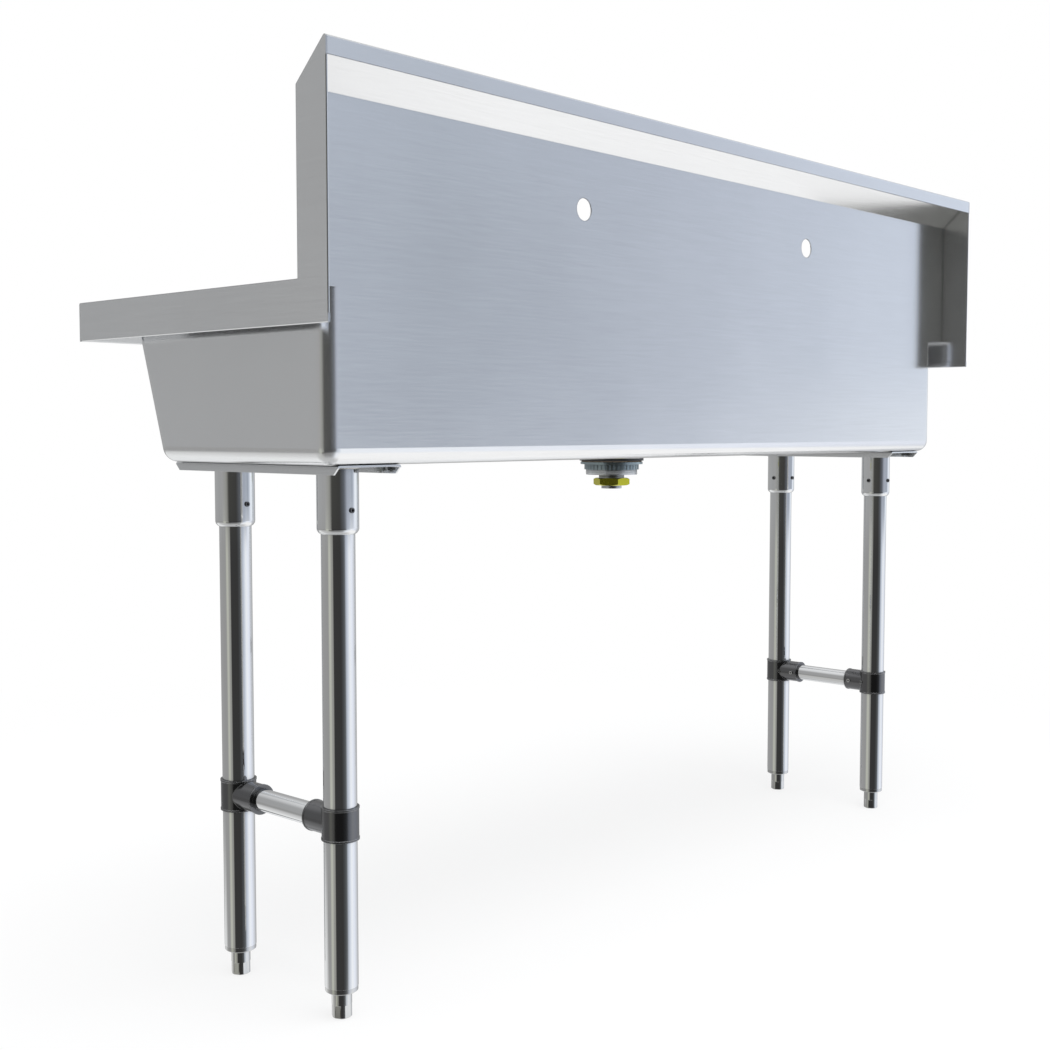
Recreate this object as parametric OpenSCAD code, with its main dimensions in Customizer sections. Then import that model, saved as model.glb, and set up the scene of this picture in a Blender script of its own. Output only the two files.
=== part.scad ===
// Free-standing wash-up sink in stainless sheet: one long bowl under a high splash,
// carried on four tube legs, with a basket strainer in the floor of the bowl.
// X runs along the sink, with +X at the user's right. -Y is the user's side.
// Z is up from the floor, and the origin lies under the middle of the sink.

/* [Sheet metal body] */
// Overall length, outside the end panels
sink_length = 1524; // [1200:2:2000]
// Overall depth, from the front apron to the rear edge
sink_depth = 508; // [480:2:600]
// Height of the deck above the floor
rim_height = 881; // [800:1:960]
// Height of the splash above the deck
splash_height = 254; // [150:1:350]
// Space between the splash and the rear edge, where the pipes run
splash_setback = 50; // [40:1:70]
// Slope of the top of the splash, in degrees
slope_angle = 43; // [20:1:55]
// Drop of the flange behind the sloped top
rear_flange = 21; // [14:1:40]
// Depth of the apron round the deck
apron_depth = 50; // [35:1:80]
// Thickness of the sheet
sheet = 1.5; // [1:0.1:2]
// Inside radius of the bends in the sheet
bend_radius = 1; // [0.5:0.1:2]
// Width of the folded hems
hem_width = 10; // [6:1:14]
// Gap inside a folded hem
hem_gap = 0.3; // [0.2:0.1:0.8]

/* [Bowl] */
// Deck between the outside of the bowl and the end of the sink
end_rim = 38; // [32:1:60]
// Deck between the front of the sink and the outside of the bowl
front_rim = 61.8; // [45:0.2:80]
// Depth of the bowl inside, from the deck
bowl_depth = 205; // [140:1:280]
// How far the front wall leans in on its way down
front_lean = 55.4; // [10:0.2:80]
// Outside radius of the corners and of the floor's edges
bowl_radius = 20; // [14:1:35]
// Radius of the lip where the deck turns down into the bowl
lip_radius = 5; // [4:0.5:10]
// Upright wall under the lip
lip_band = 12; // [8:1:20]

/* [Tap holes] */
// Distance between the two tap holes
tap_spacing = 558.8; // [200:0.2:800]
// Diameter of a tap hole
tap_hole_d = 30; // [20:0.5:38]
// Height of the tap holes above the deck
tap_rise = 128.5; // [60:0.5:140]

/* [Legs] */
// Distance of a leg's axis from the end of the sink
leg_inset = 113; // [100:1:200]
// Distance of the rear legs' axes from the rear edge
leg_setback = 122; // [115:1:150]
// Distance between a front leg and a rear leg, axis to axis
leg_spacing = 206; // [170:1:220]
// Outside diameter of a leg tube
leg_d = 41.3; // [38:0.1:46]
// Wall of a leg tube
leg_wall = 1.5; // [1:0.1:3]
// Gap all round between a leg and what it slides into
leg_gap = 0.1; // [0.05:0.05:0.3]
// Wall of a leg socket
socket_wall = 4.7; // [3:0.1:7]
// Height of a leg socket under its channel
socket_height = 81.5; // [60:0.5:110]
// Radius that rounds the lower end of a socket
socket_nose = 8; // [5:0.5:9]
// Height of a socket's set screws above its lower end
socket_screw_rise = 29.8; // [16:0.1:50]

/* [Leg channels] */
// Width of a channel across its flanges
channel_width = 98; // [90:1:120]
// Length of a channel, front to back
channel_length = 324; // [300:1:350]
// Height of a channel, top plate and flange
channel_height = 11; // [9:0.5:20]
// Thickness of a channel
channel_sheet = 2.5; // [1.5:0.1:3]
// Cut at the ends of the flanges
channel_chamfer = 8; // [3:0.5:8]
// Distance of the fixing studs from the ends of a channel
stud_end = 24; // [15:1:30]
// Distance between the two studs across a channel
stud_spacing = 76; // [70:1:78]
// Diameter of a stud
stud_d = 6; // [5:0.5:7]

/* [Cross rails] */
// Height of the cross rails' axes above the floor
rail_height = 240; // [120:1:400]
// Outside diameter of a cross rail
rail_d = 28.6; // [22:0.1:32]
// Wall of a cross rail
rail_wall = 1.2; // [0.8:0.1:2.5]
// Gap all round between a rail and its tee
rail_gap = 0.1; // [0.05:0.05:0.3]
// Wall of a tee round the leg
tee_wall = 2.1; // [1.8:0.1:4]
// Wall of a tee's branch round the rail
branch_wall = 4.7; // [2.5:0.1:5]
// Height of a tee's collar
tee_height = 40.5; // [38:0.5:60]
// Reach of a tee's branch from the leg's axis
branch_reach = 50; // [46:0.5:60]
// Height of the bead at the rims of a tee
bead_height = 2.4; // [1.5:0.1:4]
// How far a bead stands out
bead_proud = 0.6; // [0.3:0.1:1.2]
// Turn of the collar's set screw from the inward side towards the rail
tee_screw_turn = 34; // [20:1:40]

/* [Set screws] */
// Diameter of a set screw
screw_d = 6.4; // [5:0.1:8]
// Length of a set screw outside the metal
screw_proud = 2; // [1:0.5:3]
// Distance across the flats of a set screw's socket
screw_key = 3.2; // [2:0.1:4]

/* [Adjustable feet] */
// Height of the hexagon at the bottom of a foot
hex_height = 16; // [10:0.5:25]
// Distance across the flats of the hexagon
hex_flats = 23.8; // [20:0.1:26]
// Turn of the hexagon as it stands
hex_turn = 57; // [0:1:60]
// Diameter of the round shank above the hexagon
shank_d = 25; // [18:0.5:26]
// Chamfer round the foot's lower edge
foot_edge = 0.8; // [0.2:0.1:2]
// Length of the round shank
shank_height = 16.1; // [8:0.1:20]
// Visible height of the insert under the leg tube
insert_lip = 6.7; // [5:0.1:16]
// Radius that rounds the insert's lower edge
insert_nose = 1.5; // [0.5:0.1:3]
// How far the insert's collar stands back from the face of the tube
insert_step = 0.4; // [0.1:0.1:1]
// Depth of the insert inside the leg tube
insert_depth = 36; // [32:1:50]
// Thread diameter of the foot's stud
foot_stud_d = 16; // [10:0.5:18]

/* [Drain] */
// Distance of the drain's axis from the rear edge
drain_setback = 229; // [190:1:260]
// Diameter of the recess in the bowl's floor
recess_d = 112; // [112:1:130]
// Depth of the recess
recess_drop = 4; // [3:0.5:6]
// Diameter of the strainer's flange
flange_d = 102; // [96:1:102]
// Outside diameter of the strainer cup
cup_d = 80.6; // [76:0.2:84]
// Wall of the strainer cup
cup_wall = 1.2; // [1:0.1:2]
// Length of cup that shows under the locknut
cup_drop = 8; // [4:0.5:20]
// Outside diameter of the outlet neck
neck_d = 39.6; // [38:0.2:43]
// Wall of the outlet neck
neck_wall = 2; // [1.5:0.1:2.5]
// Length of neck between the cup and the coupling nut
neck_drop = 5.5; // [3:0.5:15]
// Diameter of the rubber gasket
gasket_d = 101; // [96:1:103]
// Thickness of the rubber gasket
gasket_t = 4; // [2:0.5:5]
// Diameter of the fibre ring
fibre_d = 95; // [92:1:100]
// Thickness of the fibre ring
fibre_t = 2; // [1:0.5:3]
// Diameter of the locknut's flange
locknut_flange_d = 98; // [92:1:104]
// Thickness of the locknut's flange
locknut_flange_t = 3.5; // [2:0.5:5]
// Diameter of the locknut's ribbed body
locknut_d = 86; // [86:0.5:92]
// Height of the locknut
locknut_height = 12; // [10:0.5:20]
// Number of grooves round the locknut
groove_count = 40; // [24:1:60]
// Diameter of a groove
groove_d = 3; // [2:0.1:4]
// Distance across the flats of the coupling nut
coupling_flats = 50; // [48:0.5:60]
// Height of the coupling nut
coupling_height = 11.5; // [10:0.5:20]
// Outside diameter of the tail stub
tail_d = 31.8; // [28:0.2:33]
// Length of the stub that shows under the coupling nut
tail_drop = 5; // [4:0.5:40]
// Diameter of the lift-out basket
basket_d = 72; // [62:1:72]
// Height of the lift-out basket
basket_height = 17; // [12:0.5:20]
// Diameter of a hole in the basket
basket_hole_d = 4; // [3:0.5:4.5]
// Number of holes in a row round the basket
basket_holes = 24; // [12:1:30]
// Diameter of the rubber stopper under the basket
stopper_d = 48; // [40:1:50]
// Diameter of the basket's post
post_d = 6; // [4:0.5:8]
// Diameter of the knob on the post
knob_d = 18; // [12:1:24]

/* [Hidden] */

// Smoothness of round surfaces, and number of steps in a bend of the sheet
$fn = 96;
bend_steps = 6;

// Overrun of a cut past the face that it leaves through
over = 1;
// Gap that lets a threaded or sliding piece turn
thread_gap = 0.05;
// Gap round a pin or a stud that only passes through
loose_gap = 0.4;
// Gap between two faces that don't bear on each other
seat_gap = 0.2;

end_x = sink_length / 2;
inner_x = end_x - sheet;
front_y = -sink_depth / 2;
rear_y = sink_depth / 2;
splash_y = rear_y - splash_setback;
splash_front = splash_y - sheet;
top_z = rim_height + splash_height;
apron_z = rim_height - apron_depth;
deck_under = rim_height - sheet;
hem_t = 2 * sheet + hem_gap;
hem_turn_r = hem_t / 2;
bend_outer = bend_radius + sheet;

// Sharp corner of the splash behind its rounded top edge, and the foot of the slope
peak_z = top_z + bend_outer * (tan((90 + slope_angle) / 2) - 1);
slope_z = peak_z - (rear_y - splash_front) * tan(slope_angle);

bowl_x = end_x - end_rim;
bowl_front = front_y + front_rim;
bowl_under = rim_height - bowl_depth - sheet;
lip_z = rim_height - lip_radius;
lip_grow = lip_radius - sheet;
bowl_inner_r = bowl_radius - sheet;
corner_x = bowl_x - bowl_radius;
corner_back = splash_y - bowl_radius;
corner_front = bowl_front + bowl_radius;
corner_z = bowl_under + bowl_radius;
// Half width of the lip where it meets the splash
lip_end_x = corner_x + sqrt(pow(bowl_radius + lip_grow, 2) - pow(bowl_inner_r, 2));

channel_under = bowl_under - channel_sheet;
channel_z = bowl_under - channel_height;
leg_x = end_x - leg_inset;
rear_leg_y = rear_y - leg_setback;
front_leg_y = rear_leg_y - leg_spacing;
legs_mid_y = (rear_leg_y + front_leg_y) / 2;
leg_r = leg_d / 2;
sleeve_r = leg_r + leg_gap;
socket_r = sleeve_r + socket_wall;
socket_z = channel_under - socket_height;
socket_screw_z = socket_z + socket_screw_rise;
leg_top = channel_under - 2 * channel_sheet;
stud_r = stud_d / 2;
nut_height = stud_d * 5 / 6;
nut_flats = stud_d * 5 / 3;

rail_r = rail_d / 2;
branch_bore = rail_r + rail_gap;
branch_r = branch_bore + branch_wall;
tee_r = sleeve_r + tee_wall;
rail_stop = leg_r + tee_wall;
screw_r = screw_d / 2;
branch_screw_y = (branch_reach + tee_r + screw_d) / 2;

shank_top = hex_height + shank_height;
insert_z = shank_top + seat_gap;
leg_bottom = insert_z + insert_lip;
insert_top = leg_bottom + insert_depth;
foot_stud_r = foot_stud_d / 2;

drain_y = rear_y - drain_setback;
recess_r = recess_d / 2;
recess_under = bowl_under - recess_drop;
recess_foot_r = recess_r - recess_drop;
floor_z = bowl_under + sheet;
flange_z = recess_under + sheet;
flange_top = flange_z + cup_wall;
gasket_z = recess_under - gasket_t;
fibre_z = gasket_z - fibre_t;
locknut_z = fibre_z - locknut_height;
cup_z = locknut_z - cup_drop;
cup_floor = cup_z + cup_wall;
cup_r = cup_d / 2;
cup_hole_r = cup_r + loose_gap;
neck_r = neck_d / 2;
neck_bore = neck_r - neck_wall;
coupling_top = cup_z - neck_drop;
coupling_z = coupling_top - coupling_height;
tail_r = tail_d / 2;
tail_bore = tail_r - cup_wall;
tail_z = coupling_z - tail_drop;
tail_flange_z = coupling_z + cup_wall;
washer_z = tail_flange_z + cup_wall;
neck_z = washer_z + 2 * cup_wall;
bar_width = post_d * 2 / 3;
bar_z = cup_z - cup_wall;
stopper_z = cup_floor + seat_gap;
basket_z = stopper_z + gasket_t;
basket_top = basket_z + basket_height;
basket_r = basket_d / 2;
basket_wall = cup_wall * 2 / 3;
stopper_r = stopper_d / 2;
post_r = post_d / 2;
knob_r = knob_d / 2;
knob_z = basket_top + basket_height / 3;

STEEL = [0.66, 0.67, 0.69];
POLISHED = [0.74, 0.75, 0.77];
CASTING = [0.24, 0.24, 0.25];
ZINC = [0.55, 0.60, 0.63];
BRASS = [0.80, 0.66, 0.18];
FIBRE = [0.42, 0.40, 0.36];
BLACK = [0.10, 0.10, 0.11];

function unit(v) = v / norm(v);
function left_of(v) = [-v.y, v.x];
function reversed(v) = [for (i = [len(v) - 1 : -1 : 0]) v[i]];
function spaced(v) = [for (i = [0 : len(v) - 1]) if (i == 0 || norm(v[i] - v[i - 1]) > thread_gap / 10) v[i]];
function turn_sign(a, b) = a.x * b.y - a.y * b.x > 0 ? 1 : -1;
function arc(centre, r, from, turn) =
    [for (i = [0 : bend_steps]) centre + r * [cos(from + turn * i / bend_steps), sin(from + turn * i / bend_steps)]];

// One bend of a sheet, on the face that lies `off` to the left of the path
function bend(before, at, after, off, inside) =
    let (
        a = unit(at - before),
        b = unit(after - at),
        s = turn_sign(a, b),
        phi = acos(a * b),
        r = inside + (s > 0 ? sheet : 0),
        centre = at - a * r * tan(phi / 2) + left_of(a) * s * r,
        from = atan2(-s * left_of(a).y, -s * left_of(a).x)
    )
    arc(centre, r - s * off, from, s * phi);

// One face of a bent sheet, with the inside radius of each of its bends
function sheet_face(path, off, bends) =
    let (last = len(path) - 1)
    spaced(concat(
        [path[0] + left_of(unit(path[1] - path[0])) * off],
        [for (i = [1 : last - 1]) each bend(path[i - 1], path[i], path[i + 1], off, bends[i - 1])],
        [path[last] + left_of(unit(path[last] - path[last - 1])) * off]
    ));

// Section of a bent sheet that lies to the left of its path
module bent_sheet(path, bends) {
    polygon(concat(sheet_face(path, 0, bends), reversed(sheet_face(path, sheet, bends))));
}

// Section of a hem at the given corner of a sheet, folded towards -X
module hem(corner) {
    path = [
        corner - [0, hem_turn_r],
        corner,
        corner - [hem_t, 0],
        corner - [hem_t, hem_width]
    ];
    bent_sheet(path, [hem_gap / 2, hem_gap / 2]);
}

// Outer face of the splash in Y and Z, from the rear flange down to the given height
function splash_path(low) = [
    [rear_y, top_z - rear_flange],
    [rear_y, peak_z],
    [splash_front, slope_z],
    [splash_front, low]
];
splash_bends = [bend_radius, bend_radius];

// Outer face of the deck and its apron, in Y and Z
deck_path = [
    [splash_front, rim_height],
    [front_y, rim_height],
    [front_y, apron_z],
    [front_y + hem_t, apron_z],
    [front_y + hem_t, apron_z + hem_width]
];
deck_bends = [bend_radius, hem_gap / 2, hem_gap / 2];

// Extrudes a section drawn in Y and Z along X
module along_x(from, to) {
    rotate([90, 0, 90])
        translate([0, 0, from])
            linear_extrude(to - from)
                children();
}

// Extrudes a section drawn in X and Z along Y
module along_y(from, to) {
    translate([0, to, 0])
        rotate([90, 0, 0])
            linear_extrude(to - from)
                children();
}

// Leaves the children at +X for side 1 and mirrors them to -X for side -1
module on_side(side) {
    mirror([side < 0 ? 1 : 0, 0, 0])
        children();
}

// Upright ring, with the given radii and heights
module ring(inner, outer, from, to) {
    translate([0, 0, from])
        difference() {
            cylinder(h = to - from, r = outer);
            translate([0, 0, -over])
                cylinder(h = to - from + 2 * over, r = inner);
        }
}

// Centres of the bowl's rounded edges, in Y and Z, from the back to the front
function bowl_path(top) = [
    [corner_back, top],
    [corner_back, corner_z],
    [corner_front + front_lean, corner_z],
    [corner_front, lip_z - lip_band],
    [corner_front, top]
];

// Quarter of a ring as thick as the sheet, with the bowl's corner radius
module sheet_quarter() {
    intersection() {
        difference() {
            circle(bowl_radius);
            circle(bowl_inner_r);
        }
        square([bowl_radius, bowl_radius]);
    }
}

// Walls and floor of the bowl: flat sheets, rounded edges and ball corners that meet face to face
module bowl_shell() {
    path = bowl_path(lip_z);
    last = len(path) - 1;
    for (i = [0 : last - 1]) {
        way = path[i + 1] - path[i];
        out = left_of(unit(way));
        along_x(-corner_x, corner_x)
            polygon([
                path[i] + out * bowl_inner_r,
                path[i + 1] + out * bowl_inner_r,
                path[i + 1] + out * bowl_radius,
                path[i] + out * bowl_radius
            ]);
        for (side = [-1, 1])
            on_side(side)
                translate([corner_x, path[i].x, path[i].y])
                    rotate([atan2(-way.x, way.y), 0, 0])
                        rotate([0, 0, -90])
                            rotate_extrude(angle = 90)
                                translate([bowl_inner_r, 0])
                                    square([sheet, norm(way)]);
    }
    for (i = [1 : last - 1]) {
        before = unit(path[i] - path[i - 1]);
        after = unit(path[i + 1] - path[i]);
        out = left_of(after);
        translate([0, path[i].x, path[i].y])
            rotate([90, 0, 90])
                rotate([0, 0, atan2(out.y, out.x)]) {
                    rotate_extrude(angle = acos(before * after))
                        translate([bowl_inner_r, -corner_x])
                            square([sheet, 2 * corner_x]);
                    for (side = [0, 1])
                        mirror([0, 0, side])
                            translate([0, 0, corner_x])
                                rotate_extrude(angle = acos(before * after))
                                    sheet_quarter();
                }
    }
    for (side = [-1, 1])
        on_side(side)
            along_x(corner_x + bowl_inner_r, corner_x + bowl_radius)
                polygon(path);
}

// Section of the lip, at its distance from the centre of a corner
module lip_section() {
    translate([bowl_inner_r, lip_z])
        intersection() {
            difference() {
                translate([lip_radius, 0])
                    circle(lip_radius);
                translate([lip_radius, 0])
                    circle(lip_grow);
            }
            square([lip_radius, lip_radius]);
        }
}

// Lip along the two ends and the front of the bowl, up to the splash
module bowl_lip() {
    for (side = [-1, 1])
        on_side(side) {
            translate([corner_x, 0, 0])
                along_y(corner_front, corner_back)
                    lip_section();
            translate([corner_x, corner_front, 0])
                rotate([0, 0, -90])
                    rotate_extrude(angle = 90)
                        lip_section();
            intersection() {
                translate([corner_x, corner_back, 0])
                    rotate_extrude(angle = 90)
                        lip_section();
                translate([0, 0, lip_z])
                    cube([end_x, splash_front, lip_radius]);
            }
        }
    translate([corner_x, corner_front, 0])
        rotate([90, 0, -90])
            linear_extrude(2 * corner_x)
                lip_section();
}

// Dished ring round the drain, hanging from the bowl's floor
module drain_recess() {
    translate([0, drain_y, 0])
        rotate_extrude()
            polygon([
                [cup_hole_r, recess_under],
                [recess_foot_r, recess_under],
                [recess_r, bowl_under],
                [recess_r, floor_z],
                [recess_r - sheet, floor_z],
                [recess_foot_r - sheet / 2, flange_z],
                [cup_hole_r, flange_z]
            ]);
}

module bowl() color(STEEL) {
    difference() {
        bowl_shell();
        translate([0, drain_y, bowl_under - over])
            cylinder(h = sheet + 2 * over, r = recess_r);
    }
    drain_recess();
    bowl_lip();
    // Rear wall carried up to the foot of the splash
    translate([-lip_end_x, splash_front, lip_z])
        cube([2 * lip_end_x, sheet, deck_under - lip_z]);
}

// Outline of the bowl's opening in the deck
module deck_opening() {
    r = bowl_radius + lip_grow;
    for (x = [-corner_x, corner_x], y = [corner_front, corner_back])
        translate([x, y])
            circle(r);
    translate([-corner_x - r, corner_front])
        square([2 * (corner_x + r), corner_back - corner_front]);
    translate([-corner_x, corner_front - r])
        square([2 * corner_x, corner_back - corner_front + 2 * r]);
}

module deck() color(STEEL) {
    difference() {
        along_x(-inner_x, inner_x)
            bent_sheet(deck_path, deck_bends);
        translate([0, 0, deck_under - over])
            linear_extrude(sheet + 2 * over)
                deck_opening();
    }
}

module backsplash() color(STEEL) {
    difference() {
        along_x(-inner_x, inner_x)
            bent_sheet(splash_path(deck_under), splash_bends);
        for (x = [-tap_spacing / 2, tap_spacing / 2])
            translate([x, splash_y + over, rim_height + tap_rise])
                rotate([90, 0, 0])
                    cylinder(h = sheet + 2 * over, d = tap_hole_d);
    }
}

// End panel at +X: a flat sheet with its rear and lower edges hemmed inwards
module end_panel() {
    hem_start = front_y + hem_t + hem_gap;
    hem_top = top_z - rear_flange - hem_gap;
    hem_low = apron_z + hem_width + hem_gap;
    difference() {
        along_x(inner_x, end_x)
            polygon(concat(
                sheet_face(splash_path(rim_height), 0, splash_bends),
                bend([splash_front, rim_height], deck_path[1], deck_path[2], 0, bend_radius),
                [[front_y, apron_z], [rear_y, apron_z]]
            ));
        translate([inner_x - over, rear_y - hem_turn_r, hem_low])
            cube([sheet + 2 * over, hem_turn_r + over, hem_top - hem_low]);
        translate([inner_x - over, hem_start, apron_z - over])
            cube([sheet + 2 * over, rear_y - hem_start + over, hem_turn_r + over]);
    }
    translate([0, 0, hem_low])
        linear_extrude(hem_top - hem_low)
            hem([end_x, rear_y]);
    along_y(hem_start, rear_y)
        mirror([0, 1])
            hem([end_x, -apron_z]);
}

module end_panel_left() color(STEEL) on_side(-1) end_panel();
module end_panel_right() color(STEEL) on_side(1) end_panel();

// Puts the children at the four studs of a leg channel
module at_studs(side) {
    for (x = [-stud_spacing / 2, stud_spacing / 2], y = [-1, 1])
        translate([side * leg_x + x, legs_mid_y + y * (channel_length / 2 - stud_end), 0])
            children();
}

// Upright outline with two round upper corners
module arch(half, r, low, high) {
    translate([-half, low])
        square([2 * half, high - r - low]);
    translate([-half + r, low])
        square([2 * (half - r), high - low]);
    for (x = [-half + r, half - r])
        translate([x, high - r])
            circle(r);
}

module leg_channel(side) {
    half = channel_width / 2;
    end_y = channel_length / 2;
    difference() {
        translate([side * leg_x, legs_mid_y, 0])
            intersection() {
                along_y(-end_y, end_y)
                    difference() {
                        arch(half, bend_radius + channel_sheet, channel_z - over, bowl_under);
                        arch(half - channel_sheet, bend_radius, channel_z - 2 * over, channel_under);
                    }
                along_x(-half - over, half + over)
                    polygon([
                        [-end_y, bowl_under + over],
                        [-end_y, channel_z + channel_chamfer],
                        [-end_y + channel_chamfer, channel_z],
                        [end_y - channel_chamfer, channel_z],
                        [end_y, channel_z + channel_chamfer],
                        [end_y, bowl_under + over]
                    ]);
            }
        at_studs(side)
            translate([0, 0, channel_under - over])
                cylinder(h = channel_sheet + 2 * over, r = stud_r + loose_gap);
    }
}

module leg_channel_left() color(STEEL) leg_channel(-1);
module leg_channel_right() color(STEEL) leg_channel(1);

module channel_studs() color(STEEL) {
    stud_z = channel_under - nut_height - stud_r;
    for (side = [-1, 1])
        at_studs(side)
            translate([0, 0, stud_z])
                cylinder(h = bowl_under - stud_z, r = stud_r);
}

module channel_nuts() color(ZINC) {
    for (side = [-1, 1])
        at_studs(side)
            translate([0, 0, channel_under - nut_height])
                difference() {
                    cylinder(h = nut_height, d = nut_flats / cos(30), $fn = 6);
                    translate([0, 0, -over])
                        cylinder(h = nut_height + 2 * over, r = stud_r + thread_gap);
                }
}

// Set screw along +X, with its tip and its outer end at these distances
module set_screw(tip, end) {
    translate([tip, 0, 0])
        rotate([0, 90, 0])
            difference() {
                cylinder(h = end - tip, r = screw_r);
                translate([0, 0, end - tip - screw_key])
                    cylinder(h = screw_key + over, d = screw_key / cos(30), $fn = 6);
            }
}

module screw_hole(reach) {
    rotate([0, 90, 0])
        cylinder(h = reach, r = screw_r + thread_gap);
}

// Puts the children at the two screws of a socket: inwards and to the rear
module at_socket_screws(side, y) {
    translate([side * leg_x, y, socket_screw_z])
        for (turn = [side > 0 ? 180 : 0, 90])
            rotate([0, 0, turn])
                children();
}

module leg_socket(side, y) {
    difference() {
        translate([side * leg_x, y, 0])
            rotate_extrude()
                difference() {
                    union() {
                        translate([0, socket_z + socket_nose])
                            square([socket_r, channel_under - socket_z - socket_nose]);
                        translate([0, socket_z])
                            square([socket_r - socket_nose, socket_nose + over]);
                        translate([socket_r - socket_nose, socket_z + socket_nose])
                            circle(socket_nose);
                    }
                    translate([0, socket_z - over])
                        square([sleeve_r, channel_under - socket_z + 2 * over]);
                }
        at_socket_screws(side, y)
            screw_hole(socket_r + over);
    }
}

module leg_socket_front_left() color(STEEL) leg_socket(-1, front_leg_y);
module leg_socket_front_right() color(STEEL) leg_socket(1, front_leg_y);
module leg_socket_rear_left() color(STEEL) leg_socket(-1, rear_leg_y);
module leg_socket_rear_right() color(STEEL) leg_socket(1, rear_leg_y);

module socket_screws(side) {
    for (y = [front_leg_y, rear_leg_y])
        at_socket_screws(side, y)
            set_screw(leg_r + thread_gap, socket_r + screw_proud);
}

module socket_screws_left() color(POLISHED) socket_screws(-1);
module socket_screws_right() color(POLISHED) socket_screws(1);

module leg_tube(side, y) {
    translate([side * leg_x, y, 0])
        ring(leg_r - leg_wall, leg_r, leg_bottom, leg_top);
}

module leg_tube_front_left() color(POLISHED) leg_tube(-1, front_leg_y);
module leg_tube_front_right() color(POLISHED) leg_tube(1, front_leg_y);
module leg_tube_rear_left() color(POLISHED) leg_tube(-1, rear_leg_y);
module leg_tube_rear_right() color(POLISHED) leg_tube(1, rear_leg_y);

// Puts the children at a tee, with the branch along +Y and the inward side at +X
module at_tee(side, y) {
    translate([side * leg_x, y, rail_height])
        mirror([side > 0 ? 1 : 0, 0, 0])
            mirror([0, y > legs_mid_y ? 1 : 0, 0])
                children();
}

// Round bar along Z with a bead at its far end, and at its near end too if asked
module beaded_bar(r, h, both) {
    cylinder(h = h, r = r);
    translate([0, 0, h - bead_height])
        cylinder(h = bead_height, r = r + bead_proud);
    if (both)
        cylinder(h = bead_height, r = r + bead_proud);
}

module at_collar_screw() {
    rotate([0, 0, tee_screw_turn])
        children();
}

module at_branch_screw() {
    translate([0, branch_screw_y, 0])
        children();
}

module tee(side, y) {
    at_tee(side, y)
        difference() {
            union() {
                translate([0, 0, -tee_height / 2])
                    beaded_bar(tee_r, tee_height, true);
                rotate([-90, 0, 0])
                    beaded_bar(branch_r, branch_reach, false);
            }
            translate([0, 0, -tee_height / 2 - over])
                cylinder(h = tee_height + 2 * over, r = sleeve_r);
            translate([0, rail_stop, 0])
                rotate([-90, 0, 0])
                    cylinder(h = branch_reach, r = branch_bore);
            at_collar_screw()
                screw_hole(branch_reach);
            at_branch_screw()
                screw_hole(branch_reach);
        }
}

module tee_front_left() color(CASTING) tee(-1, front_leg_y);
module tee_front_right() color(CASTING) tee(1, front_leg_y);
module tee_rear_left() color(CASTING) tee(-1, rear_leg_y);
module tee_rear_right() color(CASTING) tee(1, rear_leg_y);

module tee_screws(side) {
    for (y = [front_leg_y, rear_leg_y])
        at_tee(side, y) {
            at_collar_screw()
                set_screw(leg_r + thread_gap, tee_r + screw_proud);
            at_branch_screw()
                set_screw(rail_r + thread_gap, branch_r + screw_proud);
        }
}

module tee_screws_left() color(POLISHED) tee_screws(-1);
module tee_screws_right() color(POLISHED) tee_screws(1);

module cross_rail(side) {
    translate([side * leg_x, front_leg_y + rail_stop, rail_height])
        rotate([-90, 0, 0])
            ring(rail_r - rail_wall, rail_r, seat_gap, leg_spacing - 2 * rail_stop - seat_gap);
}

module cross_rail_left() color(POLISHED) cross_rail(-1);
module cross_rail_right() color(POLISHED) cross_rail(1);

// Threaded plug in the lower end of a leg tube
module foot_insert(side, y) {
    plug_r = leg_r - leg_wall - thread_gap;
    lip_r = leg_r - insert_step;
    translate([side * leg_x, y, 0])
        rotate_extrude()
            difference() {
                union() {
                    translate([0, insert_z + insert_nose])
                        square([lip_r, insert_lip - insert_nose]);
                    translate([0, insert_z])
                        square([lip_r - insert_nose, insert_lip]);
                    translate([lip_r - insert_nose, insert_z + insert_nose])
                        circle(insert_nose);
                    translate([0, insert_z])
                        square([plug_r, insert_top - insert_z]);
                }
                translate([0, insert_z - over])
                    square([foot_stud_r + thread_gap, insert_top - insert_z + 2 * over]);
            }
}

module foot_insert_front_left() color(POLISHED) foot_insert(-1, front_leg_y);
module foot_insert_front_right() color(POLISHED) foot_insert(1, front_leg_y);
module foot_insert_rear_left() color(POLISHED) foot_insert(-1, rear_leg_y);
module foot_insert_rear_right() color(POLISHED) foot_insert(1, rear_leg_y);

module foot(side, y) {
    translate([side * leg_x, y, 0])
        difference() {
            rotate_extrude()
                polygon([
                    [0, 0],
                    [shank_d / 2 - foot_edge, 0],
                    [shank_d / 2, foot_edge],
                    [shank_d / 2, shank_top],
                    [foot_stud_r, shank_top],
                    [foot_stud_r, insert_top],
                    [0, insert_top]
                ]);
            // Six flats milled on the round bar, for a spanner
            for (i = [0 : 5])
                rotate([0, 0, hex_turn + 30 + 60 * i])
                    translate([hex_flats / 2, -hex_flats / 4, -over])
                        cube([shank_d, hex_flats / 2, hex_height + over]);
        }
}

module foot_front_left() color(POLISHED) foot(-1, front_leg_y);
module foot_front_right() color(POLISHED) foot(1, front_leg_y);
module foot_rear_left() color(POLISHED) foot(-1, rear_leg_y);
module foot_rear_right() color(POLISHED) foot(1, rear_leg_y);

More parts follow.
